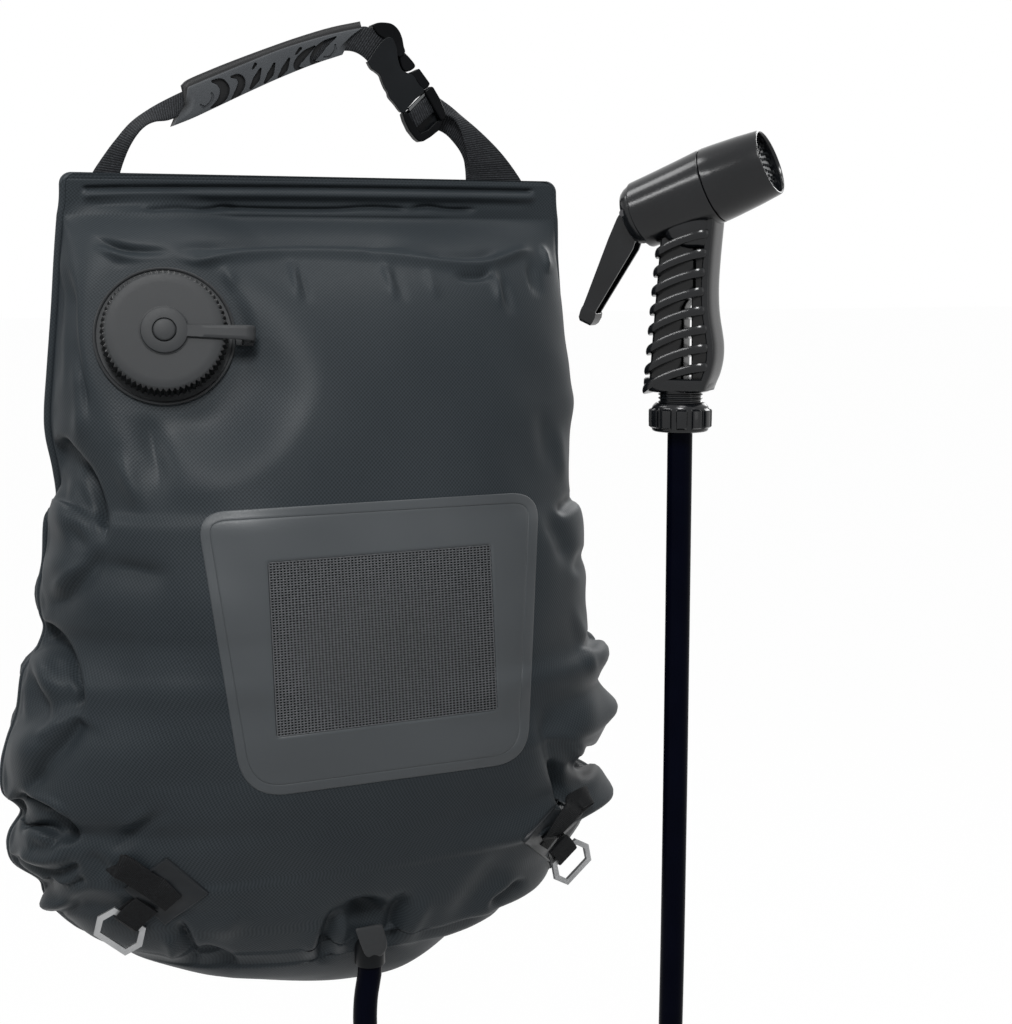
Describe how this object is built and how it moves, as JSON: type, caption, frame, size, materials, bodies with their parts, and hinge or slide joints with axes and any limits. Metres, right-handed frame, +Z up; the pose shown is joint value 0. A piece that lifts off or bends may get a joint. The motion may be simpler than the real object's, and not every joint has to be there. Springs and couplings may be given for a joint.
{
  "type": "camp shower bag",
  "caption": "Soft hanging water bag with carry handle and side-release buckle, tethered fill cap, net pocket, tie-down rings, hose and trigger shower handset.",
  "frame": {"origin": "point under the grip where a hook or branch carries the bag", "axes": "+X to the right seen from the front, front faces -Y, +Z up"},
  "size_m": [0.4583, 0.2704, 1.0523],
  "materials": {
    "coated_fabric": "coated, satin",
    "pocket_film": "smooth, satin",
    "net": "fine mesh",
    "webbing": "woven, matt",
    "black_plastic": "moulded, glossy",
    "cap_plastic": "moulded, satin",
    "grip_rubber": "moulded, satin",
    "hose_rubber": "glossy",
    "seal_rubber": "matt",
    "ring_steel": "dull nickel",
    "pin_steel": "ground"
  },
  "bodies": {
    "root": {"back_sheet": "coated_fabric", "buckle_socket": "black_plastic", "buckle_tongue": "black_plastic", "fill_neck": "cap_plastic", "front_sheet": "coated_fabric", "grip_sleeve": "grip_rubber", "handset_barrel": "black_plastic", "handset_grip": "black_plastic", "hem_band": "coated_fabric", "hose_tail": "black_plastic", "lever_pin": "pin_steel", "outlet_hood": "cap_plastic", "outlet_spigot": "black_plastic", "pocket_net": "net", "pocket_panel": "pocket_film", "shower_hose": "hose_rubber", "side_weld": "coated_fabric", "tether_anchor": "cap_plastic", "tie_loop_left": "webbing", "tie_loop_right": "webbing", "tie_patch_left": "coated_fabric", "tie_patch_right": "coated_fabric", "tie_tab_left": "webbing", "tie_tab_right": "webbing", "union_washer": "seal_rubber", "valve_seat": "black_plastic", "webbing_main": "webbing", "webbing_right": "webbing", "webbing_wrap": "webbing"},
    "tether": {"cap_tether": "cap_plastic"},
    "cap": {"fill_cap": "cap_plastic", "cap_gasket": "seal_rubber"},
    "prong_upper": {"buckle_prong_upper": "black_plastic"},
    "prong_lower": {"buckle_prong_lower": "black_plastic"},
    "ring_left": {"hex_ring_left": "ring_steel"},
    "ring_right": {"hex_ring_right": "ring_steel"},
    "lever": {"trigger_lever": "black_plastic"},
    "valve": {"valve_stem": "black_plastic", "valve_seal": "seal_rubber"},
    "nozzle": {"nozzle_sleeve": "black_plastic", "spray_plate": "black_plastic"},
    "nut": {"union_nut": "black_plastic"}
  },
  "joints": [
    {"name": "cap_lift", "type": "slide", "parent": "root", "child": "tether", "axis": [-0.2219, -0.9401, 0.259], "range_m": [0, 0.03]},
    {"name": "cap_turn", "type": "hinge", "parent": "tether", "child": "cap", "pos_m": [-0.1205, -0.05, -0.1725], "axis": [-0.2219, -0.9401, 0.259], "range_deg": [0, 540]},
    {"name": "prong_upper_squeeze", "type": "hinge", "parent": "root", "child": "prong_upper", "pos_m": [0.07405, 0, -0.01197], "axis": [0, -1, 0], "range_deg": [0, 7], "stiffness_Nm_per_rad": 0.05},
    {"name": "prong_lower_squeeze", "type": "hinge", "parent": "root", "child": "prong_lower", "pos_m": [0.05997, 0, -0.02063], "axis": [0, 1, 0], "range_deg": [0, 7], "stiffness_Nm_per_rad": 0.05},
    {"name": "ring_left_swing", "type": "hinge", "parent": "root", "child": "ring_left", "pos_m": [-0.15847, -0.07399, -0.53559], "axis": [-0.7667, 0.1712, 0.6187], "range_deg": [0, 75]},
    {"name": "ring_right_swing", "type": "hinge", "parent": "root", "child": "ring_right", "pos_m": [0.13698, -0.09059, -0.52702], "axis": [-0.7962, -0.1165, -0.5938], "range_deg": [0, 75]},
    {"name": "lever_squeeze", "type": "hinge", "parent": "root", "child": "lever", "pos_m": [0.16409, -0.13004, -0.09627], "axis": [-0.7524, -0.6587, 0], "range_deg": [0, 16], "stiffness_Nm_per_rad": 0.5, "springref_deg": -8.59},
    {"name": "valve_slide", "type": "slide", "parent": "root", "child": "valve", "axis": [0.617, -0.7048, 0.3502], "range_m": [0, 0.006]},
    {"name": "nozzle_turn", "type": "hinge", "parent": "root", "child": "nozzle", "pos_m": [0.16756, -0.13401, -0.0975], "axis": [0.617, -0.7048, 0.3502], "range_deg": [0, 90]},
    {"name": "union_turn", "type": "hinge", "parent": "root", "child": "nut", "pos_m": [0.1862, -0.1553, -0.2339], "axis": [0, 0, 1], "range_deg": [0, 540]}
  ],
  "couplings": [
    {"joint": "valve_slide", "follows": "lever_squeeze", "m_per_rad": 0.021486},
    {"joint": "prong_lower_squeeze", "follows": "prong_upper_squeeze", "ratio": 1}
  ]
}
